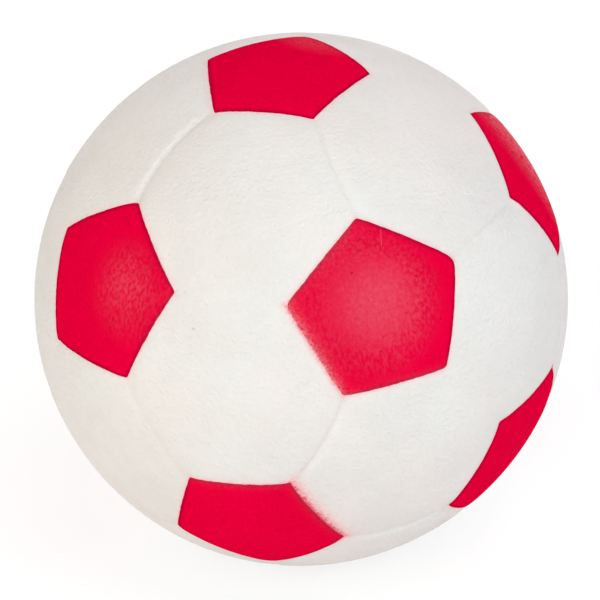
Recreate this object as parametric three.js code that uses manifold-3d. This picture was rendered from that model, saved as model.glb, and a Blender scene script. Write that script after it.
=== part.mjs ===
// Soft foam play ball with the traditional pattern of twelve pentagons and twenty hexagons.
// A light foam core fills a closed white skin. Rounded creases moulded into the skin draw the panels,
// and a sprayed red coat covers each pentagon. The ball stands on the small flat that its own weight
// presses into the foam. Millimetres, +Z up, origin at the ball's centre, front towards -Y.
import * as THREE from "three";
import Module from "manifold-3d";

// Driving dimensions
const ballDiameter = 200;
const skinThickness = 2.4; // from the ball's surface to the inside of the skin
const creaseDepth = 1.1; // from the ball's surface to the bottom of a crease
const shoulderWidth = 5.5; // from a crease to where the panel's rounded edge runs into the ball
const coatThickness = 0.4;
const coatInset = 0.8; // from a crease to the edge of the red coat
const clearance = 0.3; // between the coat and its bed, and between the skin and the core
const restFlatRadius = 12; // flat that the ball's own weight presses into the foam
const gateDiameter = 6; // hole in the skin where the foam was poured in
const sprueRecess = 0.4; // the trimmed sprue in that hole ends this far below the ball's surface
const sprueRoot = 3; // how deep the sprue is rooted in the core

// Facets
const stepsPerSide = 4; // along each side of a panel
const shoulderShares = [0, 0.25, 0.55]; // where rings run on a hexagon's shoulder, as shares of its width
const insideFacetSteps = 5; // subdivisions of the round inside
const gateFacets = 24;
const weldStep = 0.0011; // corners this close become one; no round number, so that none lies between two steps

const ballRadius = ballDiameter / 2;
const coreRadius = ballRadius - skinThickness - clearance;
const pressDepth = ballRadius - Math.sqrt(ballRadius ** 2 - restFlatRadius ** 2);
const up = new THREE.Vector3(0, 0, 1);
const down = new THREE.Vector3(0, 0, -1);

const wasm = await Module();
wasm.setup();

const whiteFoam = new THREE.MeshStandardMaterial({ color: "#f0ece6", roughness: 0.6, metalness: 0 });
const redPaint = new THREE.MeshStandardMaterial({ color: "#e4003a", roughness: 0.45, metalness: 0 });
const creamFoam = new THREE.MeshStandardMaterial({ color: "#efe5cf", roughness: 0.9, metalness: 0 });

// Panel shapes: every corner of the pattern lies on the ball, and all its sides are equally long.
const ballRadiusInSides = Math.sqrt(58 + 18 * Math.sqrt(5)) / 4;

// Outline of a panel about +Z, as vectors across the plane that touches the unit ball at the panel's middle.
// Corner 0 lies at the given turn from +X.
function panelOutline(sides, turn) {
  const circumradiusInSides = 1 / (2 * Math.sin(Math.PI / sides));
  const reach = Math.tan(Math.asin(circumradiusInSides / ballRadiusInSides));
  const corner = (i) => {
    const angle = turn + (i * 2 * Math.PI) / sides;
    return new THREE.Vector3(reach * Math.cos(angle), reach * Math.sin(angle), 0);
  };
  const points = [];
  for (let side = 0; side < sides; side++)
    for (let step = 0; step < stepsPerSide; step++)
      points.push(corner(side).lerp(corner(side + 1), step / stepsPerSide));
  return { points, apothem: reach * Math.cos(Math.PI / sides) };
}

const pentagon = panelOutline(5, 0);
const hexagon = panelOutline(6, Math.PI / 6);

// Rings that run round a panel: at a distance in from the crease, as wide as the rest flat, and half-way between.
function insetRing(outline, inset) {
  const shrink = Math.tan(Math.atan(outline.apothem) - inset / ballRadius) / outline.apothem;
  return outline.points.map((point) => point.clone().multiplyScalar(shrink));
}

function flatRing(outline) {
  const reach = Math.tan(Math.asin(restFlatRadius / ballRadius));
  return outline.points.map((point) => point.clone().setLength(reach));
}

function ringBetween(outer, inner) {
  return outer.map((point, i) => point.clone().lerp(inner[i], 0.5));
}

// Depth of a panel's surface below the ball at a distance in from the crease: steep at the crease, then levelling out.
function creaseProfile(inset) {
  return creaseDepth * (1 - Math.min(inset / shoulderWidth, 1)) ** 2;
}

// A station is a ring set at a depth below the ball's surface.
function station(ring, depth) {
  return ring.map((point) => point.clone().add(up).setLength(ballRadius - depth));
}

function middlePoint(depth) {
  return [new THREE.Vector3(0, 0, ballRadius - depth)];
}

// Triangles between one station and the next. A station of one point closes the surface with a fan.
function loft(stations) {
  const triangles = [];
  for (let s = 0; s + 1 < stations.length; s++) {
    const from = stations[s];
    const to = stations[s + 1];
    const count = Math.max(from.length, to.length);
    const at = (ring, i) => ring[i % ring.length];
    for (let i = 0; i < count; i++) {
      if (from.length > 1) triangles.push([at(from, i), at(from, i + 1), at(to, i)]);
      if (to.length > 1) triangles.push([at(from, i + 1), at(to, i + 1), at(to, i)]);
    }
  }
  return triangles;
}

// The inner rings of a panel, from its shoulder to its middle, at a depth below the panel's own surface.
function panelMiddle(outline, depth) {
  const shoulder = insetRing(outline, shoulderWidth);
  const flat = flatRing(outline);
  return [
    station(shoulder, depth),
    station(ringBetween(shoulder, flat), depth),
    station(flat, depth),
    middlePoint(depth),
  ];
}

function hexagonSurface() {
  const shoulderStations = shoulderShares.map((share) => {
    const inset = share * shoulderWidth;
    return station(insetRing(hexagon, inset), creaseProfile(inset));
  });
  return loft([...shoulderStations, ...panelMiddle(hexagon, 0)]);
}

// A pentagon of the skin has a shallow bed for its coat.
function pentagonSurface() {
  const rimInset = coatInset - clearance;
  const rim = insetRing(pentagon, rimInset);
  const bedDepth = coatThickness + clearance;
  return loft([
    station(pentagon.points, creaseDepth),
    station(rim, creaseProfile(rimInset)),
    station(rim, creaseProfile(rimInset) + bedDepth),
    ...panelMiddle(pentagon, bedDepth),
  ]);
}

// The coat repeats the panel's surface on top and lies parallel to its bed underneath.
function coatSurface() {
  const edge = insetRing(pentagon, coatInset);
  const edgeDepth = creaseProfile(coatInset);
  const roundingInset = (coatInset + shoulderWidth) / 2;
  const top = [
    station(edge, edgeDepth),
    station(insetRing(pentagon, roundingInset), creaseProfile(roundingInset)),
    ...panelMiddle(pentagon, 0),
  ];
  const underside = [station(edge, edgeDepth + coatThickness), ...panelMiddle(pentagon, coatThickness)];
  return loft([...underside.reverse(), ...top]);
}

// Foam at the floor gives way layer by layer: nothing may lie lower than its own radius less the press depth.
function pressed(triangles, floorward) {
  return triangles.map((corners) =>
    corners.map((point) => {
      const excess = point.dot(floorward) - (point.length() - pressDepth);
      return excess > 0 ? point.clone().addScaledVector(floorward, -excess) : point;
    }),
  );
}

// Places: a panel drawn about +Z is turned to its middle on the ball, with its +X towards a neighbour.
function turnTo(middle, neighbour) {
  const across = neighbour.clone().addScaledVector(middle, -neighbour.dot(middle)).normalize();
  const basis = new THREE.Matrix4().makeBasis(across, middle.clone().cross(across), middle);
  return new THREE.Quaternion().setFromRotationMatrix(basis);
}

function turned(triangles, turn) {
  return triangles.map((corners) => corners.map((point) => point.clone().applyQuaternion(turn)));
}

// Pentagon middles: one at the top, rings of five above and below the equator, and one at the bottom.
const ringTilt = Math.atan(2);
const fifth = (2 * Math.PI) / 5;
const front = -Math.PI / 2;

function onBall(tilt, azimuth) {
  return new THREE.Vector3(
    Math.sin(tilt) * Math.cos(azimuth),
    Math.sin(tilt) * Math.sin(azimuth),
    Math.cos(tilt),
  );
}

const pentagonMiddles = [{ place: "top", middle: up }];
for (let i = 0; i < 5; i++)
  pentagonMiddles.push({ place: `upper_${i + 1}`, middle: onBall(ringTilt, front + i * fifth) });
for (let i = 0; i < 5; i++)
  pentagonMiddles.push({ place: `lower_${i + 1}`, middle: onBall(Math.PI - ringTilt, front + (i + 0.5) * fifth) });
pentagonMiddles.push({ place: "bottom", middle: down });

const areNeighbours = (a, b) => a !== b && a.angleTo(b) < 1.01 * ringTilt;
const pentagonPlaces = pentagonMiddles.map(({ place, middle }) => {
  const neighbour = pentagonMiddles.find((other) => areNeighbours(other.middle, middle)).middle;
  return { place, turn: turnTo(middle, neighbour) };
});

// A hexagon lies between each three pentagons that are all neighbours.
const hexagonPlaces = [];
const middles = pentagonMiddles.map(({ middle }) => middle);
middles.forEach((a, i) =>
  middles.slice(i + 1).forEach((b, j) =>
    middles.slice(i + j + 2).forEach((c) => {
      if (!areNeighbours(a, b) || !areNeighbours(b, c) || !areNeighbours(a, c)) return;
      const middle = new THREE.Vector3().add(a).add(b).add(c).normalize();
      hexagonPlaces.push({ middle, turn: turnTo(middle, a) });
    }),
  ),
);

// The pour gate is in the middle of the hexagon that faces furthest back.
const gateDirection = hexagonPlaces
  .map(({ middle }) => middle)
  .reduce((furthest, middle) => (middle.y > furthest.y ? middle : furthest));

// Welded geometry: corners that share a place become one vertex.
function geometryOf(triangles) {
  const positions = [];
  const indices = [];
  const vertexAt = new Map();
  for (const corners of triangles)
    for (const point of corners) {
      const key = point.toArray().map((value) => Math.round(value / weldStep)).join();
      if (!vertexAt.has(key)) {
        vertexAt.set(key, vertexAt.size);
        positions.push(...point.toArray());
      }
      indices.push(vertexAt.get(key));
    }
  return new THREE.BufferGeometry()
    .setAttribute("position", new THREE.Float32BufferAttribute(positions, 3))
    .setIndex(indices);
}

function trianglesOf(geometry) {
  const flat = geometry.index ? geometry.toNonIndexed() : geometry;
  const position = flat.getAttribute("position");
  const triangles = [];
  for (let i = 0; i < position.count; i += 3)
    triangles.push([0, 1, 2].map((k) => new THREE.Vector3().fromBufferAttribute(position, i + k)));
  return triangles;
}

function solidOf(geometry) {
  const vertProperties = new Float32Array(geometry.getAttribute("position").array);
  const triVerts = new Uint32Array(geometry.index.array);
  return new wasm.Manifold(new wasm.Mesh({ numProp: 3, vertProperties, triVerts }));
}

function geometryOfSolid(solid) {
  const { vertProperties, triVerts } = solid.getMesh();
  return new THREE.BufferGeometry()
    .setAttribute("position", new THREE.BufferAttribute(vertProperties, 3))
    .setIndex(new THREE.BufferAttribute(triVerts, 1));
}

// A round ball inside the skin, pressed flat at the floor like the layers round it.
function insideBall(radius) {
  const round = new THREE.IcosahedronGeometry(radius, insideFacetSteps);
  return solidOf(geometryOf(pressed(trianglesOf(round), down)));
}

// A round bar along the pour gate, between two distances from the ball's centre.
function gateBar(radius, start, end) {
  const bar = new THREE.CylinderGeometry(radius, radius, end - start, gateFacets);
  bar.translate(0, (start + end) / 2, 0);
  bar.applyQuaternion(new THREE.Quaternion().setFromUnitVectors(new THREE.Vector3(0, 1, 0), gateDirection));
  return solidOf(geometryOf(trianglesOf(bar)));
}

function whiteSkin() {
  const hexagonPanel = hexagonSurface();
  const pentagonPanel = pentagonSurface();
  const bottomPanel = pressed(pentagonPanel, up);
  const panels = [
    ...hexagonPlaces.map(({ turn }) => turned(hexagonPanel, turn)),
    ...pentagonPlaces.map(({ place, turn }) => turned(place === "bottom" ? bottomPanel : pentagonPanel, turn)),
  ];
  const outside = solidOf(geometryOf(panels.flat()));
  const hollow = insideBall(ballRadius - skinThickness);
  const gate = gateBar(gateDiameter / 2, coreRadius - sprueRoot, ballRadius + creaseDepth);
  return geometryOfSolid(outside.subtract(hollow).subtract(gate));
}

function foamCore() {
  const sprue = gateBar(gateDiameter / 2 - clearance, coreRadius - sprueRoot, ballRadius - sprueRecess);
  return geometryOfSolid(insideBall(coreRadius).add(sprue));
}

function addPiece(group, name, geometry, material) {
  const mesh = new THREE.Mesh(geometry, material);
  mesh.name = name;
  mesh.geometry.computeVertexNormals();
  group.add(mesh);
  return mesh;
}

const ball = new THREE.Group();
ball.name = "foam_ball";
addPiece(ball, "foam_core", foamCore(), creamFoam);
addPiece(ball, "white_skin", whiteSkin(), whiteFoam);

const coats = new THREE.Group();
coats.name = "red_coats";
ball.add(coats);
const coat = geometryOf(coatSurface());
const bottomCoat = geometryOf(pressed(coatSurface(), up));
for (const { place, turn } of pentagonPlaces) {
  const geometry = place === "bottom" ? bottomCoat : coat;
  addPiece(coats, `red_pentagon_${place}`, geometry, redPaint).quaternion.copy(turn);
}

export default ball;
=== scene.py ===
import math
import bpy
import numpy as np
from mathutils import Matrix


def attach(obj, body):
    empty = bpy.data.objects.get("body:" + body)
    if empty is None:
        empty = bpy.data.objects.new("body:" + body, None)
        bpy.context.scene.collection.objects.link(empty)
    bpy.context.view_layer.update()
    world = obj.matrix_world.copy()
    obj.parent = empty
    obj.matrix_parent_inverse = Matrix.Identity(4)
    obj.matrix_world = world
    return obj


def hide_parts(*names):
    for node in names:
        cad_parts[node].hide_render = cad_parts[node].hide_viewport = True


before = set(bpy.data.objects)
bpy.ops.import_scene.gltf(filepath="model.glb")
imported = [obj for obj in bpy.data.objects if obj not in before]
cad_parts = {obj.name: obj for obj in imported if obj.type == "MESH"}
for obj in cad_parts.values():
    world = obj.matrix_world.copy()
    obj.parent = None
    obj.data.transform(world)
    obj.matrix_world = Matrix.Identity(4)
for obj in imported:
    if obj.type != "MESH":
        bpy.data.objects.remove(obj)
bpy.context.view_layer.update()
print("frame loaded:", len(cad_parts), "nodes")


# camera, where the photograph was taken from: distance in metres, lens and sensor in millimetres,
# angles in degrees, shift as a share of the frame
view = {"azimuth": -18.87, "elevation": 31.38, "roll": -5.31, "distance": 1.6, "lens": 255.8, "sensor": 36,
        "shift": (-0.0009, -0.0017)}


def lookingIn(azimuth, elevation, roll=0.0):
    # columns: right, up and back of something that looks at the ball's centre from that side
    a, e, r = (math.radians(v) for v in (azimuth, elevation, roll))
    back = np.array([math.sin(a) * math.cos(e), -math.cos(a) * math.cos(e), math.sin(e)])
    levelRight = np.array([math.cos(a), math.sin(a), 0.0])
    right = math.cos(r) * levelRight + math.sin(r) * np.cross(back, levelRight)
    return np.stack([right, np.cross(back, right), back], 1)


def setUp(thing, turn, distance):
    rows = np.concatenate([turn, turn[:, 2:] * distance], 1).tolist()
    thing.matrix_world = Matrix(rows + [[0, 0, 0, 1]])
    bpy.context.scene.collection.objects.link(thing)


def addCamera():
    made = bpy.data.objects.new("camera", bpy.data.cameras.new("camera"))
    made.data.sensor_width = view["sensor"]
    made.data.lens = view["lens"]
    made.data.shift_x, made.data.shift_y = view["shift"]
    setUp(made, lookingIn(view["azimuth"], view["elevation"], view["roll"]), view["distance"])
    bpy.context.scene.camera = made


addCamera()
print("camera set")


# the ball as moulded, in metres, and the width of the band of painted shade along the deeper creases
ball = {"radius": 0.100, "skin": 0.0024, "flatRadius": 0.012, "flatClear": 0.0001,
        "creaseDepth": 0.0011, "pentagonCrease": 0.35, "shoulder": 0.0055, "steep": 0.0015, "steepening": 0.4,
        "lowReach": 0.014, "lipHeight": 0.00011, "lipPlace": 0.0014, "lipWidth": (0.0010, 0.0032),
        "shadeBand": 0.0009, "bumpy": 0.00016, "waves": 14, "waveTurns": (2.2, 6.5), "seed": 11,
        "drawnStrength": (0.2, 1.0), "drawnBow": 0.0008, "drawnLow": (-0.6, 0.6),
        "perSide": 26, "rings": 18, "ringsInside": 3, "crowding": 2.1}

flatHeight = math.sqrt(ball["radius"] ** 2 - ball["flatRadius"] ** 2)
radiusInSides = math.sqrt(58 + 18 * math.sqrt(5)) / 4    # ball radius over the side of a panel
ringTilt = math.atan(2)                                  # between neighbouring pentagons


def onBall(tilt, azimuth):
    return np.array([math.sin(tilt) * math.cos(azimuth), math.sin(tilt) * math.sin(azimuth), math.cos(tilt)])


def unit(vectors):
    return vectors / np.linalg.norm(vectors, axis=-1, keepdims=True)


def turnTo(middle, neighbour):
    # columns: towards the neighbour, across that, and out through the panel's middle
    along = unit(neighbour - middle * (neighbour @ middle))
    return np.stack([along, np.cross(middle, along), middle], 1)


pentagonMiddles = {"top": onBall(0, 0)}
for i in range(5):
    pentagonMiddles[f"upper_{i + 1}"] = onBall(ringTilt, math.radians(72 * i - 90))
for i in range(5):
    pentagonMiddles[f"lower_{i + 1}"] = onBall(math.pi - ringTilt, math.radians(72 * i - 54))
pentagonMiddles["bottom"] = onBall(math.pi, 0)

names, middles = list(pentagonMiddles), list(pentagonMiddles.values())
near = [[i != j and a @ b > 0.4 for j, b in enumerate(middles)] for i, a in enumerate(middles)]
pentagonTurns = {name: turnTo(middles[i], middles[near[i].index(True)]) for i, name in enumerate(names)}
hexagonTurns = []
for i in range(12):
    for j in range(i + 1, 12):
        for k in range(j + 1, 12):
            if near[i][j] and near[j][k] and near[i][k]:
                hexagonTurns.append(turnTo(unit(middles[i] + middles[j] + middles[k]), middles[i]))
gateIndex = int(np.argmax([turn[1, 2] for turn in hexagonTurns]))    # the hexagon that faces furthest back


def panelTilt(sides):
    # the angle from a panel's middle to its corners
    return math.asin(1 / (2 * math.sin(math.pi / sides)) / radiusInSides)


def panelCorners(sides, turn):
    # corner i on the plane that touches the unit ball at the panel's middle:
    # tan(tilt) times (cos, sin) of its angle
    angle = turn + 2 * np.pi * np.arange(sides + 1) / sides
    return math.tan(panelTilt(sides)) * np.stack([np.cos(angle), np.sin(angle)], 1)


def outwards(flat):
    # a point of the touching plane, drawn in to the unit ball
    return unit(np.concatenate([flat, np.ones(flat.shape[:-1] + (1,))], -1))


pentagonCorners = panelCorners(5, 0)
hexagonCorners = panelCorners(6, math.pi / 6)


def panelOutline(corners, perSide):
    share = np.arange(perSide)[None, :, None] / perSide
    return (corners[:-1, None] * (1 - share) + corners[1:, None] * share).reshape(-1, 2)


# creases that the foam filled more or less than the mould's depth, by the pentagons at their two ends:
# strength as a share of that depth, how far the middle bows aside, in metres, and the share of the dip that
# runs on over the lower panel, whose side is given by its sign
hexagonCreases = {("top", "upper_5"): (1.25, -0.0016, 1.0), ("upper_1", "lower_5"): (0.95, 0.0013, -1.0),
                  ("lower_1", "lower_5"): (0.75, 0.0010, -1.0), ("top", "upper_1"): (0.6, -0.0014, -0.8),
                  ("upper_1", "upper_2"): (0.55, 0.0014, 0.3), ("upper_5", "lower_5"): (0.5, 0, 0),
                  ("top", "upper_2"): (0.15, 0, 0), ("top", "upper_3"): (0.1, 0, 0),
                  ("top", "upper_4"): (0.15, 0, 0), ("upper_1", "lower_1"): (0.15, 0, 0),
                  ("upper_1", "upper_5"): (0.1, 0, 0), ("upper_4", "upper_5"): (0.2, 0, 0),
                  ("upper_5", "lower_4"): (0.2, 0, 0)}
# strength of the fainter sides of pentagons, by pentagon and side
faintSides = {("top", 1): 0.15, ("top", 2): 0.15, ("upper_4", 3): 0.08, ("upper_4", 4): 0.08,
              ("lower_4", 3): 0.08, ("lower_4", 4): 0.08}


def creaseLines():
    # each arc's start, end, strength, bow and low side: five round every pentagon, and one from each pentagon
    # to each neighbour, by chance where hexagonCreases doesn't give it
    chance = np.random.default_rng(ball["seed"])
    made = []
    for name, turn in pentagonTurns.items():
        corners = outwards(pentagonCorners) @ turn.T
        strengths = [faintSides.get((name, i), ball["pentagonCrease"]) for i in range(5)]
        made += [(corners[i], corners[i + 1], strengths[i], 0, 0) for i in range(5)]
    for i in range(12):
        for j in range(i + 1, 12):
            if near[i][j]:
                start, end = (middles[a] * math.cos(panelTilt(5)) + turnTo(middles[a], middles[b])[:, 0]
                              * math.sin(panelTilt(5)) for a, b in ((i, j), (j, i)))
                drawn = (chance.uniform(*ball["drawnStrength"]), chance.normal(0, ball["drawnBow"]),
                         chance.uniform(*ball["drawnLow"]))
                made.append((start, end, *hexagonCreases.get((names[i], names[j]), drawn)))
    return made


creases = creaseLines()


def alongCrease(points, start, end):
    # how far along the arc, from -1 at its start to 1 at its end, and the vector across it
    half = math.acos(start @ end) / 2
    middle, across = unit(start + end), unit(np.cross(start, end))
    return np.arctan2(points @ np.cross(across, middle), points @ middle) / half, across


def bowed(directions):
    # points on a crease, moved aside with its bow: bow x (1 - along squared)
    moved = directions.copy()
    for start, end, _, bow, _ in creases:
        along, across = alongCrease(directions, start, end)
        onLine = (np.abs(directions @ across) < 1e-6) & (np.abs(along) < 1)
        moved[onLine] += across * (bow / ball["radius"] * (1 - along[onLine] ** 2))[:, None]
    return unit(moved)


def creaseShape(directions):
    # drop: depth x (1 - product of (1 - strength x (1 - distance / shoulder) squared)) over the creases,
    # where distance is the arc to a crease or, past its ends, to its nearest end; a bow moves the line aside
    # as a parabola does; on the low side a share of the dip runs out over a longer reach, on the high side
    # the shoulder is steeper; lip: there the foam swells up as e to the power of
    # -((distance - place) / width) squared, wider away from the crease; the band of painted shade:
    # e to the power of -(distance / width) squared along the deeper creases
    flat = directions.reshape(-1, 3)
    kept, lip, shadeBand = np.ones(len(flat)), np.zeros(len(flat)), np.zeros(len(flat))
    for start, end, strength, bow, low in creases:
        half = math.acos(start @ end) / 2
        reach = max(ball["shoulder"], ball["lowReach"] * (low != 0)) + abs(bow)
        close = np.flatnonzero(flat @ unit(start + end) > math.cos(half + reach / ball["radius"]))
        point = flat[close]
        along, across = alongCrease(point, start, end)
        hump = np.clip(1 - along ** 2, 0, 1)
        aside = ball["radius"] * np.arcsin(np.clip(point @ across, -1, 1)) - bow * hump
        distance = np.hypot(aside, ball["radius"] * half * np.clip(np.abs(along) - 1, 0, None))
        onHigh = hump * (aside * low < 0)
        shoulder = ball["shoulder"] + (ball["steep"] - ball["shoulder"]) * onHigh ** ball["steepening"]
        dip = np.clip(1 - distance / shoulder, 0, 1) ** 2
        share = abs(low) * hump * (aside * low > 0)
        dip += share * (np.clip(1 - distance / ball["lowReach"], 0, 1) ** 2 - dip)
        kept[close] *= 1 - strength * dip
        width = np.where(distance < ball["lipPlace"], *ball["lipWidth"])
        lip[close] += abs(low) * onHigh * np.exp(-((distance - ball["lipPlace"]) / width) ** 2)
        deeper = np.clip(strength - ball["pentagonCrease"], 0, 1)
        shadeBand[close] += deeper * np.exp(-(distance / ball["shadeBand"]) ** 2)
    shape = directions.shape[:-1]
    return (ball["creaseDepth"] * (1 - kept)).reshape(shape), lip.reshape(shape), shadeBand.reshape(shape)


wave = np.random.default_rng(ball["seed"])
waveAxes = unit(wave.normal(size=(ball["waves"], 3))) * wave.uniform(*ball["waveTurns"], (ball["waves"], 1))
wavePhases = wave.uniform(0, 2 * np.pi, ball["waves"])


def slowWaves(directions):
    # foam that set a little out of round: the sum of sines of (direction along an axis + phase)
    return ball["bumpy"] * np.sin(directions @ waveAxes.T + wavePhases).sum(-1) / math.sqrt(ball["waves"] / 2)


def skinSurface(directions, lift=0.0):
    # radius less the creases' drop plus their lips, the slow waves and the lift, then pressed flat at the
    # floor, with room under the skin for the coat
    drop, lip, _ = creaseShape(directions)
    radius = ball["radius"] - drop + ball["lipHeight"] * lip + slowWaves(directions) + lift
    points = directions * radius[..., None]
    floor = -(flatHeight - ball["flatClear"] + np.broadcast_to(lift, points.shape[:-1]))
    points[..., 2] = np.maximum(points[..., 2], floor)
    return points


def bandFaces(rows, count, first=0):
    # quads between neighbouring rows of a grid that closes on itself
    row, column = np.meshgrid(np.arange(rows - 1), np.arange(count), indexing="ij")
    here, right = row * count + column, row * count + (column + 1) % count
    return first + np.stack([here, right, right + count, here + count], -1).reshape(-1, 4)


def fanFaces(ring, centre):
    return np.stack([ring, np.roll(ring, -1), np.full(len(ring), centre)], 1)


def makeMesh(name, points, quads, triangles, attributes=None, weld=True):
    keep = np.arange(len(points))
    if weld:    # points that share a place to a tenth of a micrometre become one
        places = np.round(points * 1e7).astype(np.int64)
        _, keep, index = np.unique(places, axis=0, return_index=True, return_inverse=True)
        index = index.reshape(-1)
        points, quads, triangles = points[keep], index[quads], index[triangles]
    mesh = bpy.data.meshes.new(name)
    corners = np.concatenate([quads.ravel(), triangles.ravel()])
    starts = np.concatenate([np.arange(len(quads)) * 4, 4 * len(quads) + np.arange(len(triangles)) * 3])
    mesh.vertices.add(len(points))
    mesh.vertices.foreach_set("co", points.astype(np.float32).ravel())
    mesh.loops.add(len(corners))
    mesh.loops.foreach_set("vertex_index", corners.astype(np.int32))
    mesh.polygons.add(len(starts))
    mesh.polygons.foreach_set("loop_start", starts.astype(np.int32))
    mesh.update(calc_edges=True)
    mesh.polygons.foreach_set("use_smooth", np.ones(len(starts), bool))
    for label, values in (attributes or {}).items():
        made = mesh.attributes.new(label, "FLOAT", "POINT")
        made.data.foreach_set("value", values[keep].astype(np.float32))
    mesh.validate()
    piece = bpy.data.objects.new(name, mesh)
    bpy.context.scene.collection.objects.link(piece)
    return piece


# the paint: lengths in metres
paint = {"under": 0.00003, "top": 0.00008, "feather": 0.0003, "waver": 0.00005, "ragged": 0.00012,
         "beats": (7, 90), "roundness": 130, "cornerWidth": 0.35, "perSide": 44, "rings": 20, "crowding": 1.7,
         "rim": 0.22, "rimReach": 0.0008, "sprayReach": 0.0020, "thinReach": 0.0014, "merge": 0.0015,
         "strayCosine": 0.85, "bead": (0.0006, 0.0009), "beadLoss": 4, "wetFall": 1.5, "seed": 5}
# a stencil that lay as chance had it: its slip and inset in metres, thin paint and spray on few sides, gloss
byChance = {"slip": 0.0004, "inset": (0.0005, 0.0012), "thin": 0.4, "spray": 0.9, "rarity": 6,
            "wet": (0.4, 0.8), "wetPlace": 0.003, "wetReach": 0.032}
# how the stencil lay on the pentagons: on the five sides how far the middle of its edge lay past the crease,
# in metres, the edge's tilt, and the amounts of thin paint inside the edge, of mist close outside it and of
# spray that drifted further out; where the paint dried glossy, as amount, place and reach along two axes of
# the touching plane, in metres; and the corners that came out rounder, with their roundness
stencils = {
    "top": {"past": (-0.0003, -0.0015, -0.0007, -0.0025, -0.0007), "tilt": (0.035, 0.053, 0.035, -0.013, 0),
            "wet": (0.17, -0.022, 0.026, 0.024, 0.019)},
    "upper_1": {"past": (-0.0008, 0.0003, -0.0005, -0.0006, -0.0013), "tilt": (0.01, -0.02, 0, 0.01, 0),
                "wet": (1.05, 0.0035, 0.0048, 0.0325, 0.0325), "thin": (0.05, 0.36, 0.05, 0, 0),
                "mist": (0.25, 0.75, 0.35, 0.22, 0.22),
                "corners": {1: 36, 4: 24}},
    "upper_2": {"past": (0.0008, -0.0014, -0.0025, -0.0022, -0.0012), "tilt": (-0.01, 0.03, 0, 0, 0.045),
                "wet": (0.55, 0.002, -0.016, 0.045, 0.031)},
    "upper_4": {"past": (-0.0018, 0.0006, -0.0014, -0.0051, -0.0053)},
    "upper_5": {"past": (0.0004, 0.0015, -0.0005, -0.0007, 0), "tilt": (0.045, 0.03, -0.04, -0.01, 0),
                "wet": (0.4, 0.005, -0.018, 0.024, 0.027), "corners": {0: 50, 3: 60, 4: 75}},
    "lower_1": {"past": (-0.0009, -0.0013, -0.0009, 0.0008, 0.0024), "tilt": (-0.01, 0, 0, 0, -0.08),
                "wet": (0.01, 0, 0, 0.030, 0.030)},
    "lower_4": {"past": (-0.0006, 0.0004, -0.0028, -0.0057, -0.0043)},
    "lower_5": {"past": (-0.0002, -0.0020, -0.0014, -0.0008, -0.0003), "tilt": (-0.015, 0, 0, 0.045, -0.02),
                "wet": (0.01, 0, 0, 0.030, 0.030), "thin": (0.05, 0, 0, 0, 0.04),
                "spray": (0.06, 0, 0, 0, 1.15)},
}

pentagonApothem = math.atan(np.linalg.norm(pentagonCorners[0]) * math.cos(math.pi / 5))
sideAngles = (np.arange(5) + 0.5) * 2 * np.pi / 5
sideNormals = np.stack([np.cos(sideAngles), np.sin(sideAngles)], 1)
sideTangents = np.stack([-np.sin(sideAngles), np.cos(sideAngles)], 1)

paintChance = np.random.default_rng(paint["seed"])
for name in names:
    slip = paintChance.normal(0, byChance["slip"], 2)
    inset = paintChance.uniform(*byChance["inset"])
    plain = {"past": sideNormals @ slip - inset, "tilt": (0,) * 5, "mist": (paint["rim"],) * 5, "corners": {},
             "thin": byChance["thin"] * paintChance.uniform(0, 1, 5) ** byChance["rarity"],
             "spray": byChance["spray"] * paintChance.uniform(0, 1, 5) ** byChance["rarity"],
             "wet": (paintChance.uniform(*byChance["wet"]), *paintChance.normal(0, byChance["wetPlace"], 2),
                     byChance["wetReach"], byChance["wetReach"])}
    if name in stencils:
        plain.update(thin=(0,) * 5, spray=(0,) * 5)
    stencils[name] = {**plain, **stencils.get(name, {})}


def stencilApothems(name):
    return np.tan(pentagonApothem + np.array(stencils[name]["past"]) / ball["radius"])


def pastSides(name, flat):
    # how far a point of the touching plane lies past each side of the stencil, in metres
    tilted = sideNormals - sideTangents * np.array(stencils[name]["tilt"])[:, None]
    return (flat @ tilted.T - stencilApothems(name)) * ball["radius"]


def nearestSide(past, amounts):
    # the sides' amounts, weighed by e to the power of the distance past them, so that they merge at corners
    weight = np.exp(past / paint["merge"])
    return (weight * np.array(amounts)).sum(-1) / weight.sum(-1)


def strayPaint(directions):
    # paint outside the stencil: the sides' mist x e to the power of -(distance / its short reach) plus their
    # spray x e to the power of -(distance / its longer reach)
    total = np.zeros(len(directions))
    for name, turn in pentagonTurns.items():
        local = directions @ turn
        close = local[:, 2] > paint["strayCosine"]
        past = pastSides(name, local[close, :2] / local[close, 2:])
        outside = np.clip(past.max(1), 0, None)
        total[close] += nearestSide(past, stencils[name]["mist"]) * np.exp(-outside / paint["rimReach"])
        total[close] += nearestSide(past, stencils[name]["spray"]) * np.exp(-outside / paint["sprayReach"])
    return total


# the pour gate at the back: hole, how far its lip is rounded, and the cut sprue in it
gate = {"radius": 0.0030, "lip": 0.0004, "lipRings": 4, "sprueRadius": 0.0027, "sprueRecess": 0.0004,
        "torn": 0.00006, "seed": 3}


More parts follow.
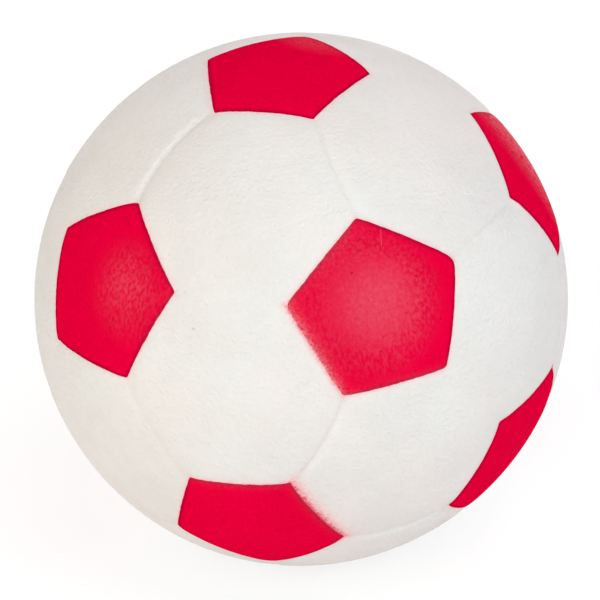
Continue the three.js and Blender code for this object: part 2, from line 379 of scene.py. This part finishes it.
def makeSkin():
    points, quads, triangles = [], [], []
    total = 0
    inner = ball["radius"] - ball["skin"]
    even = np.arange(ball["rings"] + 1) / ball["rings"]
    share = even[:, None, None] ** ball["crowding"]    # rings lie close together at the crease
    shareInside = np.linspace(0, 1, ball["ringsInside"] + 1)[:, None, None]
    for corners, turns in ((hexagonCorners, hexagonTurns), (pentagonCorners, list(pentagonTurns.values()))):
        straight = panelOutline(corners, ball["perSide"])
        count = len(straight)
        for index, turn in enumerate(turns):
            holed = corners is hexagonCorners and index == gateIndex
            local = bowed(outwards(straight) @ turn.T) @ turn
            outline = local[:, :2] / local[:, 2:]
            around = outline / np.linalg.norm(outline, axis=1, keepdims=True)
            hole = around * gate["radius"] / ball["radius"] * holed    # a point where the panel has no gate
            surface = skinSurface(outwards(outline * (1 - share) + hole * share) @ turn.T)
            wall = outwards(outline * (1 - shareInside) + hole * shareInside) @ turn.T * inner
            wall[..., 2] = np.maximum(wall[..., 2], -(flatHeight - ball["skin"]))
            if holed:    # the outside runs over a rounded lip, down the hole and back along the inside
                lip = np.linspace(0, 1, gate["lipRings"] + 1)[1:, None, None] * np.pi / 2
                spread = hole * (1 + (1 - np.sin(lip)) * gate["lip"] / gate["radius"])
                rounded = outwards(spread) @ turn.T * (ball["radius"] - gate["lip"] * (1 - np.cos(lip)))
                grid = np.concatenate([surface[:-1], rounded, wall[::-1]])
                points.append(grid.reshape(-1, 3))
                quads.append(bandFaces(len(grid), count, total))
                total += len(grid) * count
                continue
            for grid, inside in ((surface, False), (wall, True)):
                rows = len(grid) - 1
                points += [grid[:-1].reshape(-1, 3), grid[-1, :1]]
                band = bandFaces(rows, count, total)
                fan = fanFaces(total + (rows - 1) * count + np.arange(count), total + rows * count)
                quads.append(band[:, ::-1] if inside else band)
                triangles.append(fan[:, ::-1] if inside else fan)
                total += rows * count + 1
    points, quads, triangles = (np.concatenate(part) for part in (points, quads, triangles))
    directions = unit(points)
    _, lip, shadeBand = creaseShape(directions)
    attributes = {"shadeBand": shadeBand, "lip": lip, "stray": strayPaint(directions)}
    return makeMesh("skin_of_white_foam", points, quads, triangles, attributes)


skinPiece = makeSkin()
print("skin:", len(skinPiece.data.polygons), "faces")


def coatEdge(name, angle):
    # polar outline of the stencil: (sum of ((cos - tilt x sin)(angle to a side) / its apothem) to the power
    # p) to the power -1/p, which rounds the corners the more the smaller p is, plus a sum of cosines, the
    # waver, that grows ragged in thin paint
    chance = np.random.default_rng(sum(map(ord, name)))
    power = np.full(len(angle), float(paint["roundness"]))
    for corner, roundness in stencils[name]["corners"].items():
        away = np.angle(np.exp(1j * (angle - corner * 2 * np.pi / 5)))
        power += (roundness - paint["roundness"]) * np.exp(-(away / paint["cornerWidth"]) ** 2)
    toSide = angle[:, None] - sideAngles
    facing = np.cos(toSide) - np.array(stencils[name]["tilt"]) * np.sin(toSide)
    reach = ((np.clip(facing, 0, None) / stencilApothems(name)) ** power[:, None]).sum(1) ** (-1 / power)
    beats = np.arange(*paint["beats"])
    waver = np.cos(angle[:, None] * beats + chance.uniform(0, 2 * np.pi, len(beats))) / np.sqrt(beats)
    edge = reach[:, None] * np.stack([np.cos(angle), np.sin(angle)], 1)
    thin = nearestSide(pastSides(name, edge), stencils[name]["thin"])
    return reach + waver.sum(1) * (paint["waver"] + paint["ragged"] * thin) / ball["radius"]


def makeCoat(name, turn):
    along = panelOutline(pentagonCorners, paint["perSide"])
    angle = np.arctan2(along[:, 1], along[:, 0])
    reach = coatEdge(name, angle)
    edge = reach[:, None] * np.stack([np.cos(angle), np.sin(angle)], 1)
    count, rings = len(angle), paint["rings"]
    share = (np.arange(rings + 1) / rings)[:, None] ** paint["crowding"]    # close together at the edge
    flat = edge * (1 - share[..., None])
    inward = ball["radius"] * reach * share
    swell = 1 - np.exp(-inward / paint["feather"])    # the film thins out to nothing at its edge
    directions = outwards(flat) @ turn.T
    top = skinSurface(directions, paint["under"] + (paint["top"] - paint["under"]) * swell)
    under = skinSurface(directions, paint["under"])
    thin = nearestSide(pastSides(name, flat), stencils[name]["thin"]) * np.exp(-inward / paint["thinReach"])
    place, width = paint["bead"]
    crisp = np.clip(1 - paint["beadLoss"] * thin, 0, 1)
    bead = np.exp(-((inward - place) / width) ** 2) * crisp    # paint lies thicker along crisp edges

    amount, *spot = stencils[name]["wet"]
    away = (ball["radius"] * flat - spot[:2]) / spot[2:]
    level = np.clip(1 - (away ** 2).sum(-1), 0, 1)
    wet = amount * level ** paint["wetFall"]    # the film dries glossy where it lies thick

    def wrap(low, high):    # from the middle underneath, round the edge, to the middle on top
        tail = low.shape[2:]
        return np.concatenate([low[rings - 1:0:-1].reshape(-1, *tail), high[:rings].reshape(-1, *tail),
                               low[rings, :1], high[rings, :1]])

    points = wrap(under, top)
    rows = 2 * rings - 1
    low = fanFaces(np.arange(count), len(points) - 2)[:, ::-1]
    high = fanFaces((rows - 1) * count + np.arange(count), len(points) - 1)
    return makeMesh(f"coat_of_red_paint_{name}", points, bandFaces(rows, count), np.concatenate([low, high]),
                    {"thin": wrap(thin, thin), "bead": wrap(bead, bead), "wet": wrap(wet, wet)}, weld=False)


coatPieces = {name: makeCoat(name, turn) for name, turn in pentagonTurns.items()}
print("coats:", len(coatPieces))


# the core: its gap to the skin, and the sprue's profile as shares of its radius and depths below its cut
core = {"gap": 0.0003, "around": 96, "steps": 90, "sprueShares": (0.3, 0.6, 0.85, 0.97, 1, 1),
        "sprueDepths": (0, 0, 0, 0.00005, 0.0003, 0.0012), "cutRings": 4}


def makeCore():
    # a profile of (distance from the gate's axis, height along it) carried round: the cut sprue, its side
    # and the round core
    coreRadius = ball["radius"] - ball["skin"] - core["gap"]
    cut = ball["radius"] - gate["sprueRecess"]
    count = core["around"]
    arc = np.linspace(math.asin(gate["sprueRadius"] / coreRadius), np.pi, core["steps"])[:-1]
    across = np.concatenate([gate["sprueRadius"] * np.array(core["sprueShares"]), coreRadius * np.sin(arc)])
    along = np.concatenate([cut - np.array(core["sprueDepths"]), coreRadius * np.cos(arc)])
    spin = np.linspace(0, 2 * np.pi, count, endpoint=False)
    rise = np.repeat(along[:, None], count, 1)
    chance = np.random.default_rng(gate["seed"])
    rise[:core["cutRings"]] += chance.normal(0, gate["torn"], (core["cutRings"], count))    # torn cells
    local = np.stack([across[:, None] * np.cos(spin), across[:, None] * np.sin(spin), rise], -1)
    ends = [[0, 0, cut], [0, 0, -coreRadius]]
    points = np.concatenate([local.reshape(-1, 3), ends]) @ hexagonTurns[gateIndex].T
    points[:, 2] = np.maximum(points[:, 2], -(flatHeight - ball["skin"] - core["gap"]))
    rows = len(along)
    first = fanFaces(np.arange(count), rows * count)[:, ::-1]
    last = fanFaces((rows - 1) * count + np.arange(count), rows * count + 1)
    quads = bandFaces(rows, count)[:, ::-1]
    fans = np.concatenate([first, last])[:, ::-1]
    return makeMesh("core_of_cream_foam", points, quads, fans, weld=False)


corePiece = makeCore()
print("core made")


def addNode(tree, kind, values=None, **settings):
    made = tree.nodes.new(kind)
    for key, value in settings.items():
        setattr(made, key, value)
    for socket, value in (values or {}).items():
        setSocket(tree, made.inputs[socket], value)
    return made


def setSocket(tree, socket, value):
    if isinstance(value, (int, float, tuple)):
        socket.default_value = value
    else:
        tree.links.new(value, socket)


def mathNode(tree, operation, *parts):
    return addNode(tree, "ShaderNodeMath", dict(enumerate(parts)), operation=operation).outputs[0]


def vectorNode(tree, operation, output, *parts):
    return addNode(tree, "ShaderNodeVectorMath", dict(enumerate(parts)), operation=operation).outputs[output]


def rangeNode(tree, value, low, high, toLow=0.0, toHigh=1.0, smooth=True):
    parts = dict(enumerate((value, low, high, toLow, toHigh)))
    kind = "SMOOTHSTEP" if smooth else "LINEAR"
    return addNode(tree, "ShaderNodeMapRange", parts, interpolation_type=kind).outputs[0]


def mixColours(tree, factor, first, second):
    return addNode(tree, "ShaderNodeMix", {0: factor, 6: first, 7: second}, data_type="RGBA").outputs[2]


def noiseNode(tree, place, scale, detail=2.0, roughness=0.5):
    values = {"Vector": place, "Scale": scale, "Detail": detail, "Roughness": roughness}
    return addNode(tree, "ShaderNodeTexNoise", values).outputs[0]


def newGroup(name, takes, gives):
    group = bpy.data.node_groups.new(name, "ShaderNodeTree")
    for label, kind in takes.items():
        group.interface.new_socket(label, in_out="INPUT", socket_type=kind)
    for label in gives:
        group.interface.new_socket(label, in_out="OUTPUT", socket_type="NodeSocketFloat")
    return group, group.nodes.new("NodeGroupInput").outputs, group.nodes.new("NodeGroupOutput").inputs


# grain of a moulded skin: noise scales per metre, shares of the height and widths of the pinholes
grainLook = {"fine": 0.7, "pebble": 0.5, "pebbleScale": 0.8, "flow": (110.0, 110.0, 560.0),
             "patchScale": 22.0, "patchShares": (0.35, 0.75), "bubbleScale": 190.0,
             "holeWidths": (0.06, 0.15), "holeDepth": -1.2}


def foamGrainGroup():
    # pebbled grain of a moulded skin, faint lines where the foam flowed, and pinholes left by gas bubbles
    takes = {"Vector": "NodeSocketVector", "Grain": "NodeSocketFloat", "Pinholes": "NodeSocketFloat"}
    group, given, gives = newGroup("foamGrain", takes, ["Height", "Pit"])
    place = given["Vector"]
    fine = noiseNode(group, place, given["Grain"], 3.0, 0.6)
    coarser = mathNode(group, "MULTIPLY", given["Grain"], grainLook["pebbleScale"])
    pebble = addNode(group, "ShaderNodeTexVoronoi", {"Vector": place, "Scale": coarser},
                     feature="SMOOTH_F1").outputs["Distance"]
    stretched = addNode(group, "ShaderNodeMapping", {"Vector": place, "Scale": grainLook["flow"]}).outputs[0]
    patches = noiseNode(group, place, grainLook["patchScale"])
    patches = rangeNode(group, patches, 0.42, 0.62, *grainLook["patchShares"])
    flow = mathNode(group, "MULTIPLY", noiseNode(group, stretched, 1.0, 3.0, 0.55), patches)
    bubbles = addNode(group, "ShaderNodeTexVoronoi", {"Vector": place, "Scale": grainLook["bubbleScale"]},
                      feature="F1")
    drawn = addNode(group, "ShaderNodeSeparateColor", {0: bubbles.outputs["Color"]}).outputs
    chosen = mathNode(group, "LESS_THAN", drawn[0], given["Pinholes"])
    width = rangeNode(group, drawn[1], 0.0, 1.0, *grainLook["holeWidths"], smooth=False)
    hole = rangeNode(group, bubbles.outputs["Distance"], 0.02, width, 1.0, 0.0)
    pit = mathNode(group, "MULTIPLY", hole, chosen)
    pebble = mathNode(group, "MULTIPLY", pebble, grainLook["pebble"])
    grain = mathNode(group, "MULTIPLY_ADD", fine, grainLook["fine"], pebble)
    height = mathNode(group, "ADD", flow, mathNode(group, "MULTIPLY_ADD", pit, grainLook["holeDepth"], grain))
    setSocket(group, gives["Height"], height)
    setSocket(group, gives["Pit"], pit)
    return group


def sprayGroup():
    # specks where an amount of spray beats a fine noise
    takes = {"Vector": "NodeSocketVector", "Amount": "NodeSocketFloat", "Speck": "NodeSocketFloat"}
    group, given, gives = newGroup("spraySpecks", takes, ["Mask"])
    noise = noiseNode(group, given["Vector"], given["Speck"], 2.0, 0.65)
    noise = rangeNode(group, noise, 0.3, 0.7, smooth=False)
    bar = mathNode(group, "SUBTRACT", 1.0, given["Amount"])
    least, most = mathNode(group, "SUBTRACT", bar, 0.12), mathNode(group, "ADD", bar, 0.22)
    specks = rangeNode(group, noise, least, most)
    faded = rangeNode(group, given["Amount"], 0.02, 0.25)
    setSocket(group, gives["Mask"], mathNode(group, "MULTIPLY", specks, faded))
    return group


foamGrain, spraySpecks = foamGrainGroup(), sprayGroup()


def newMaterial(name, look):
    material = bpy.data.materials.new(name)
    material.use_nodes = True
    tree = material.node_tree
    shader = tree.nodes["Principled BSDF"]
    shader.inputs["Specular IOR Level"].default_value = look["specular"]
    return material, tree, shader.inputs, addNode(tree, "ShaderNodeTexCoord").outputs["Object"]


def groupNode(tree, group, place, **values):
    made = addNode(tree, "ShaderNodeGroup", node_tree=group)
    for label, value in {"Vector": place, **values}.items():
        setSocket(tree, made.inputs[label], value)
    return made.outputs


def attribute(tree, name):
    return addNode(tree, "ShaderNodeAttribute", attribute_name=name).outputs["Fac"]


def bumpFrom(tree, height, strength, distance):
    values = {"Height": height, "Strength": strength, "Distance": distance}
    return addNode(tree, "ShaderNodeBump", values).outputs[0]


# white skin: linear colours and how much of them shows, roughness from and to, noise scales per metre, bump
# height in metres, and the heights on the ball between which the grain goes from one share to the other
# among these, the colour for the deeper creases and pinholes is painted shade, and the colour for the crease
# lips a painted highlight
whiteLook = {"warm": (0.895, 0.845, 0.815, 1), "cool": (0.870, 0.860, 0.833, 1),
             "shade": (0.845, 0.815, 0.785, 1), "hollowShade": (0.70, 0.68, 0.65, 1),
             "lipHighlight": (0.985, 0.945, 0.920, 1), "blush": (0.96, 0.80, 0.79, 1),
             "stray": (0.86, 0.09, 0.16, 1),
             "roughness": (0.52, 0.66), "specular": 0.12, "bump": 0.0008, "bumpStrength": 0.8,
             "grain": 950.0, "pinholes": 0.012, "grainHeights": (0.05, 0.1), "grainShares": (1.08, 0.75),
             "cloudScale": 32.0, "tintScale": 20.0, "lipGlintScale": 700.0, "clumpScale": 800.0,
             "speckScale": 1500.0, "creaseShade": 0.5, "lipHighlightShare": 0.35, "pitShade": 0.2, "mistMost": 0.97,
             "speckAmount": 0.7, "speckShare": 0.4}


def whiteSkinMaterial():
    material, tree, shader, place = newMaterial("white moulded skin", whiteLook)
    cloud = noiseNode(tree, place, whiteLook["cloudScale"], 4.0, 0.6)
    tint = rangeNode(tree, noiseNode(tree, place, whiteLook["tintScale"]), 0.35, 0.65)
    colour = mixColours(tree, tint, whiteLook["warm"], whiteLook["cool"])
    colour = mixColours(tree, rangeNode(tree, cloud, 0.35, 0.68), colour, whiteLook["shade"])
    creaseShade = mathNode(tree, "MULTIPLY", attribute(tree, "shadeBand"), whiteLook["creaseShade"])
    colour = mixColours(tree, creaseShade, colour, whiteLook["hollowShade"])    # painted shade along the deeper creases
    lipGlints = noiseNode(tree, place, whiteLook["lipGlintScale"], 3.0, 0.7)
    lipGlints = rangeNode(tree, lipGlints, 0.35, 0.65, 0.3, 1.0)
    lipHighlightShare = rangeNode(tree, attribute(tree, "lip"), 0.0, 1.0, 0.0, whiteLook["lipHighlightShare"])
    lipHighlightShare = mathNode(tree, "MULTIPLY", lipHighlightShare, lipGlints)
    colour = mixColours(tree, lipHighlightShare, colour, whiteLook["lipHighlight"])    # painted highlight: the crease lips drawn lighter in speckled glints
    grain = groupNode(tree, foamGrain, place, Grain=whiteLook["grain"], Pinholes=whiteLook["pinholes"])
    # painted shade: the pinholes are drawn darker
    pitShaded = mathNode(tree, "MULTIPLY", grain["Pit"], whiteLook["pitShade"])
    colour = mixColours(tree, pitShaded, colour, whiteLook["hollowShade"])
    stray = attribute(tree, "stray")
    clumps = noiseNode(tree, place, whiteLook["clumpScale"], 3.0, 0.65)
    clumps = rangeNode(tree, clumps, 0.3, 0.7, 0.3, 1.7, smooth=False)
    mist = mathNode(tree, "MINIMUM", mathNode(tree, "MULTIPLY", stray, clumps), whiteLook["mistMost"])
    amount = mathNode(tree, "MULTIPLY", stray, whiteLook["speckAmount"])
    specks = groupNode(tree, spraySpecks, place, Amount=amount, Speck=whiteLook["speckScale"])["Mask"]
    mist = mathNode(tree, "MAXIMUM", mist, mathNode(tree, "MULTIPLY", specks, whiteLook["speckShare"]))
    colour = mixColours(tree, rangeNode(tree, stray, 0.0, 0.25, smooth=False), colour, whiteLook["blush"])
    setSocket(tree, shader["Base Color"], mixColours(tree, mist, colour, whiteLook["stray"]))
    setSocket(tree, shader["Roughness"], rangeNode(tree, cloud, 0.3, 0.7, *whiteLook["roughness"]))
    rise = addNode(tree, "ShaderNodeSeparateXYZ", {0: place}).outputs["Z"]
    smoother = rangeNode(tree, rise, *whiteLook["grainHeights"], *whiteLook["grainShares"])
    height = mathNode(tree, "MULTIPLY", grain["Height"], smoother)    # the grain is fainter towards the top
    bump = bumpFrom(tree, height, whiteLook["bumpStrength"], whiteLook["bump"])
    setSocket(tree, shader["Normal"], bump)
    return material


# red paint: linear colours and how much of them shows, a thin gloss as a coat, noise scales per metre, bump
# height in metres; the hair scratch runs between two points in metres
redLook = {"deep": (0.785, 0.0, 0.038, 1), "bright": (0.885, 0.0, 0.050, 1), "thick": (0.72, 0.0, 0.050, 1),
           "bare": (0.86, 0.50, 0.53, 1), "pinholeShade": (0.36, 0.0, 0.014, 1), "bead": (0.34, 0.0, 0.034, 1),
           "scratched": (0.86, 0.16, 0.22, 1), "beadShare": 0.6, "thickShare": 0.6, "scratchShare": 0.45,
           "pinholeShadeShares": (0.1, 0.4), "bareMost": 2.2,
           "roughness": (0.5, 0.6), "specular": 0.0, "gloss": (0.42, 1.08), "glossRoughness": 0.32,
           "bump": 0.0006, "bumpStrength": 0.6, "peelGloss": 0.8, "peelHeight": 0.45,
           "grain": 950.0, "pinholes": 0.9, "cloudScale": 60.0, "cloudShare": 0.4, "unevenScale": 700.0,
           "unevenShare": 0.6, "bareScale": 1100.0, "glossScale": 820.0, "wrinkles": (900.0, 900.0, 400.0),
           "scratchStart": (0.0070, -0.0737, 0.0672), "scratchEnd": (0.0054, -0.0777, 0.0627),
           "scratchWidth": 0.00022}


def alongScratch(tree, place):
    # one where the distance to the line between two points is nil, nought from the scratch's width on
    start, end = np.array(redLook["scratchStart"]), np.array(redLook["scratchEnd"])
    along = tuple((end - start) / ((end - start) @ (end - start)))
    offset = vectorNode(tree, "SUBTRACT", 0, place, tuple(start))
    share = rangeNode(tree, vectorNode(tree, "DOT_PRODUCT", 1, offset, along), 0.0, 1.0, smooth=False)
    step = addNode(tree, "ShaderNodeVectorMath", {0: tuple(end - start), "Scale": share}, operation="SCALE")
    distance = vectorNode(tree, "LENGTH", 1, vectorNode(tree, "SUBTRACT", 0, offset, step.outputs[0]))
    return rangeNode(tree, distance, 0.0, redLook["scratchWidth"], 1.0, 0.0)


def redCoatMaterial():
    material, tree, shader, place = newMaterial("red sprayed paint", redLook)
    cloud = noiseNode(tree, place, redLook["cloudScale"], 5.0, 0.6)
    uneven = noiseNode(tree, place, redLook["unevenScale"], 3.0, 0.6)
    uneven = mathNode(tree, "MULTIPLY", uneven, redLook["unevenShare"])
    uneven = mathNode(tree, "MULTIPLY_ADD", cloud, redLook["cloudShare"], uneven)
    uneven = rangeNode(tree, uneven, 0.35, 0.65, smooth=False)
    colour = mixColours(tree, uneven, redLook["deep"], redLook["bright"])
    bead = mathNode(tree, "MULTIPLY", attribute(tree, "bead"), redLook["beadShare"])
    colour = mixColours(tree, bead, colour, redLook["bead"])
    grain = groupNode(tree, foamGrain, place, Grain=redLook["grain"], Pinholes=redLook["pinholes"])
    wet = attribute(tree, "wet")
    thickened = mathNode(tree, "MULTIPLY", wet, redLook["thickShare"])
    colour = mixColours(tree, thickened, colour, redLook["thick"])
    # painted shade: the pinholes drawn darker, most where the paint is glossy
    pinholeShadeShown = rangeNode(tree, wet, 0.0, 0.6, *redLook["pinholeShadeShares"])
    colour = mixColours(tree, mathNode(tree, "MULTIPLY", grain["Pit"], pinholeShadeShown), colour, redLook["pinholeShade"])
    patchy = noiseNode(tree, place, redLook["bareScale"], 3.0, 0.7)
    patchy = rangeNode(tree, patchy, 0.32, 0.68, 0.0, redLook["bareMost"], smooth=False)
    bare = mathNode(tree, "MULTIPLY", attribute(tree, "thin"), patchy)
    colour = mixColours(tree, bare, colour, redLook["bare"])
    scratch = mathNode(tree, "MULTIPLY", alongScratch(tree, place), redLook["scratchShare"])
    setSocket(tree, shader["Base Color"], mixColours(tree, scratch, colour, redLook["scratched"]))
    setSocket(tree, shader["Roughness"], rangeNode(tree, cloud, 0.3, 0.7, *redLook["roughness"]))
    stretched = addNode(tree, "ShaderNodeMapping", {"Vector": place, "Scale": redLook["wrinkles"]}).outputs[0]
    peel = rangeNode(tree, noiseNode(tree, stretched, 1.0, 2.0), 0.36, 0.64, -1.0, 1.0, smooth=False)
    shiny, thick = rangeNode(tree, wet, 0.0, 0.2, 0.25, 1.0), rangeNode(tree, wet, 0.45, 0.8, 1.0, 0.2)
    wrinkled = mathNode(tree, "MULTIPLY", shiny, thick)
    peel = mathNode(tree, "MULTIPLY", peel, wrinkled)    # the film wrinkled as it dried, least where thick
    gloss = noiseNode(tree, place, redLook["glossScale"], 4.0, 0.7)
    gloss = rangeNode(tree, gloss, 0.3, 0.7, *redLook["gloss"], smooth=False)
    ripple = mathNode(tree, "MULTIPLY_ADD", peel, redLook["peelGloss"], 1.0)
    gloss = mathNode(tree, "MULTIPLY", gloss, ripple)
    gloss = mathNode(tree, "MULTIPLY", gloss, mathNode(tree, "SUBTRACT", 1.0, grain["Pit"]))
    setSocket(tree, shader["Coat Weight"], mathNode(tree, "MULTIPLY", gloss, wet))
    shader["Coat Roughness"].default_value = redLook["glossRoughness"]
    height = mathNode(tree, "MULTIPLY_ADD", peel, redLook["peelHeight"], grain["Height"])
    setSocket(tree, shader["Normal"], bumpFrom(tree, height, redLook["bumpStrength"], redLook["bump"]))
    return material


# foam of the core, seen on the cut sprue
creamLook = {"wall": (0.84, 0.76, 0.60, 1), "cell": (0.52, 0.43, 0.29, 1), "roughness": 0.9, "specular": 0.2,
             "bump": 0.0002, "bumpStrength": 0.8, "cellScale": 1700.0, "tintScale": 400.0, "tint": 0.3}


def creamFoamMaterial():
    material, tree, shader, place = newMaterial("cream open foam", creamLook)
    shader["Roughness"].default_value = creamLook["roughness"]
    cells = addNode(tree, "ShaderNodeTexVoronoi", {"Vector": place, "Scale": creamLook["cellScale"]},
                    feature="DISTANCE_TO_EDGE")
    wall = rangeNode(tree, cells.outputs["Distance"], 0.05, 0.3, 1.0, 0.0)
    colour = mixColours(tree, wall, creamLook["cell"], creamLook["wall"])
    tint = noiseNode(tree, place, creamLook["tintScale"], 3.0)
    tint = rangeNode(tree, tint, 0.3, 0.7, 0.0, creamLook["tint"])
    setSocket(tree, shader["Base Color"], mixColours(tree, tint, colour, creamLook["cell"]))
    setSocket(tree, shader["Normal"], bumpFrom(tree, wall, creamLook["bumpStrength"], creamLook["bump"]))
    return material


skinPiece.data.materials.append(whiteSkinMaterial())
redCoat = redCoatMaterial()
for piece in coatPieces.values():
    piece.data.materials.append(redCoat)
corePiece.data.materials.append(creamFoamMaterial())
print("materials:", len(bpy.data.materials))

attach(skinPiece, "root")
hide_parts("white_skin")
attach(corePiece, "root")
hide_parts("foam_core")
for name, piece in coatPieces.items():
    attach(piece, "root")
    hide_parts(f"red_pentagon_{name}")
print("pieces ride on root")


# studio: a white floor, a pale room and soft lamps, in metres and degrees; a lamp's level is the light that a
# white surface facing it sends back
studio = {"room": 0.36, "roomTint": (1, 0.97, 0.97, 1), "floor": (0.95, 0.92, 0.92, 1),
          "floorSeen": (0.38, 0.38, 0.38, 1), "floorGlow": 0.71, "floorHalf": 12.0, "floorGap": 0.00002}
softboxes = {"right": {"azimuth": 19, "elevation": 21, "distance": 1.5, "size": 0.9, "level": 0.22,
                       "tint": (0.64, 0.89, 1)},
             "left": {"azimuth": -48, "elevation": 22, "distance": 1.5, "size": 0.8, "level": 0.285,
                      "tint": (1, 1, 0.90)},
             "top": {"azimuth": 14, "elevation": 70, "distance": 1.6, "size": 1.1, "level": 0.28,
                     "tint": (1, 0.91, 0.89)},
             "farLeft": {"azimuth": -105, "elevation": 15, "distance": 1.5, "size": 0.6, "level": 0.12,
                         "tint": (1, 1, 0.88)},
             "farRight": {"azimuth": 75, "elevation": 20, "distance": 1.5, "size": 0.8, "level": 0.135,
                          "tint": (0.97, 0.93, 0.98)},
             "rear": {"azimuth": 160, "elevation": 24, "distance": 1.6, "size": 1.0, "level": 0.22,
                      "tint": (1, 1, 1)}}


def showsBackground(tree):
    path = addNode(tree, "ShaderNodeLightPath").outputs
    either = mathNode(tree, "MAXIMUM", path["Is Camera Ray"], path["Is Glossy Ray"])
    return mathNode(tree, "MAXIMUM", either, path["Is Transmission Ray"])


def addFloor():
    corners = studio["floorHalf"] * np.array([[-1, -1], [1, -1], [1, 1], [-1, 1]])
    points = np.concatenate([corners, np.full((4, 1), -flatHeight - studio["floorGap"])], 1)
    floor = makeMesh("floor", points, np.array([[0, 1, 2, 3]]), np.zeros((0, 3), int), weld=False)
    material = bpy.data.materials.new("white floor")
    material.use_nodes = True
    tree = material.node_tree
    tree.nodes.clear()
    seen = showsBackground(tree)
    colour = mixColours(tree, seen, studio["floor"], studio["floorSeen"])
    matte = addNode(tree, "ShaderNodeBsdfDiffuse", {"Color": colour})
    strength = mathNode(tree, "MULTIPLY", seen, studio["floorGlow"])
    glow = addNode(tree, "ShaderNodeEmission", {"Strength": strength})
    both = addNode(tree, "ShaderNodeAddShader", {0: matte.outputs[0], 1: glow.outputs[0]})
    addNode(tree, "ShaderNodeOutputMaterial", {"Surface": both.outputs[0]})
    floor.data.materials.append(material)


def addRoom():
    world = bpy.data.worlds.new("white room")
    bpy.context.scene.world = world
    world.use_nodes = True
    light = world.node_tree.nodes["Background"].inputs
    light["Color"].default_value = studio["roomTint"]
    light["Strength"].default_value = studio["room"]


def addSoftbox(name, box):
    lamp = bpy.data.lights.new(f"softbox_{name}", "AREA")
    lamp.shape = "DISK"
    lamp.size = box["size"]
    lamp.color = box["tint"]
    # watts that give the level at the ball
    lamp.energy = math.pi ** 2 * box["level"] * box["distance"] ** 2
    setUp(bpy.data.objects.new(lamp.name, lamp), lookingIn(box["azimuth"], box["elevation"]), box["distance"])


addFloor()
addRoom()
for name, box in softboxes.items():
    addSoftbox(name, box)
bpy.context.scene.view_settings.view_transform = "Standard"
print("studio lit")

bpy.context.view_layer.update()
